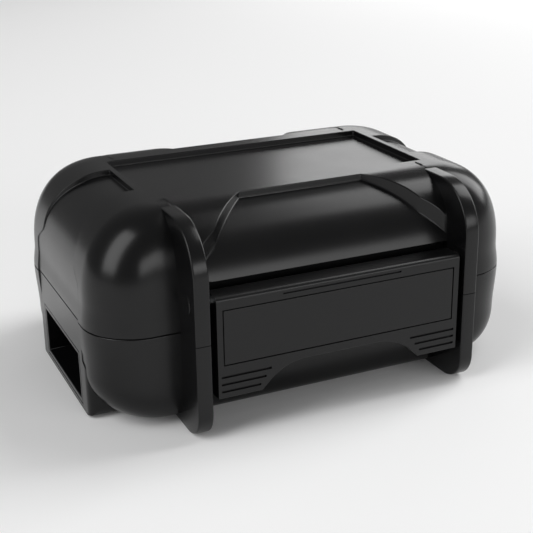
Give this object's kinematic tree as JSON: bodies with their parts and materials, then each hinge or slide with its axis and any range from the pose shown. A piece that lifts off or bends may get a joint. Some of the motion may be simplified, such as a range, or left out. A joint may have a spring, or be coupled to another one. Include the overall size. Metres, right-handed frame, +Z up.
{
  "type": "bait station",
  "caption": "Rounded black clamshell box on two hoop legs with an opening low in each end, a hinged lid with a shallow pocket, a wide front flap and an inner tray with rods.",
  "frame": {"origin": "on the ground under the middle of the box", "axes": "+Z up, the front flap faces -Y, +X to the right of someone who faces the front"},
  "size_m": [0.2764, 0.22, 0.1254],
  "materials": {
    "lid_plastic": "semi-gloss moulded black",
    "base_plastic": "semi-gloss moulded black",
    "flap_plastic": "satin moulded black",
    "label_plastic": "fine matt black",
    "cap_plastic": "semi-gloss moulded black",
    "inner_plastic": "matt moulded black",
    "steel": "drawn wire",
    "rubber": "matt rubber",
    "bait": "waxy pressed grain block"
  },
  "bodies": {
    "base": {"base_shell": "base_plastic", "hinge_pin_left": "steel", "hinge_pin_right": "steel", "entrance_sleeve_left": "inner_plastic", "entrance_sleeve_right": "inner_plastic", "baffle_left": "inner_plastic", "baffle_right": "inner_plastic", "bait_tray": "inner_plastic", "bait_rod_left_front": "steel", "bait_rod_left_rear": "steel", "bait_rod_right_front": "steel", "bait_rod_right_rear": "steel", "bait_block_1": "bait", "bait_block_2": "bait", "bait_block_3": "bait", "bait_block_4": "bait", "bait_block_5": "bait", "bait_block_6": "bait", "bait_block_7": "bait", "bait_block_8": "bait", "pad_front_left": "rubber", "pad_front_right": "rubber", "pad_rear_left": "rubber", "pad_rear_right": "rubber"},
    "lid": {"lid_shell": "lid_plastic", "pivot_rod": "steel", "pivot_cap_left": "cap_plastic", "pivot_cap_right": "cap_plastic"},
    "flap": {"latch_flap": "flap_plastic", "label_plate": "label_plastic"}
  },
  "joints": [
    {"name": "lid_hinge", "type": "hinge", "parent": "base", "child": "lid", "pos_m": [0, 0.105, 0.0588], "axis": [-1, 0, 0], "range_deg": [0, 100]},
    {"name": "flap_hinge", "type": "hinge", "parent": "lid", "child": "flap", "pos_m": [0, -0.097, 0.08], "axis": [-1, 0, 0], "range_deg": [0, 70]}
  ]
}
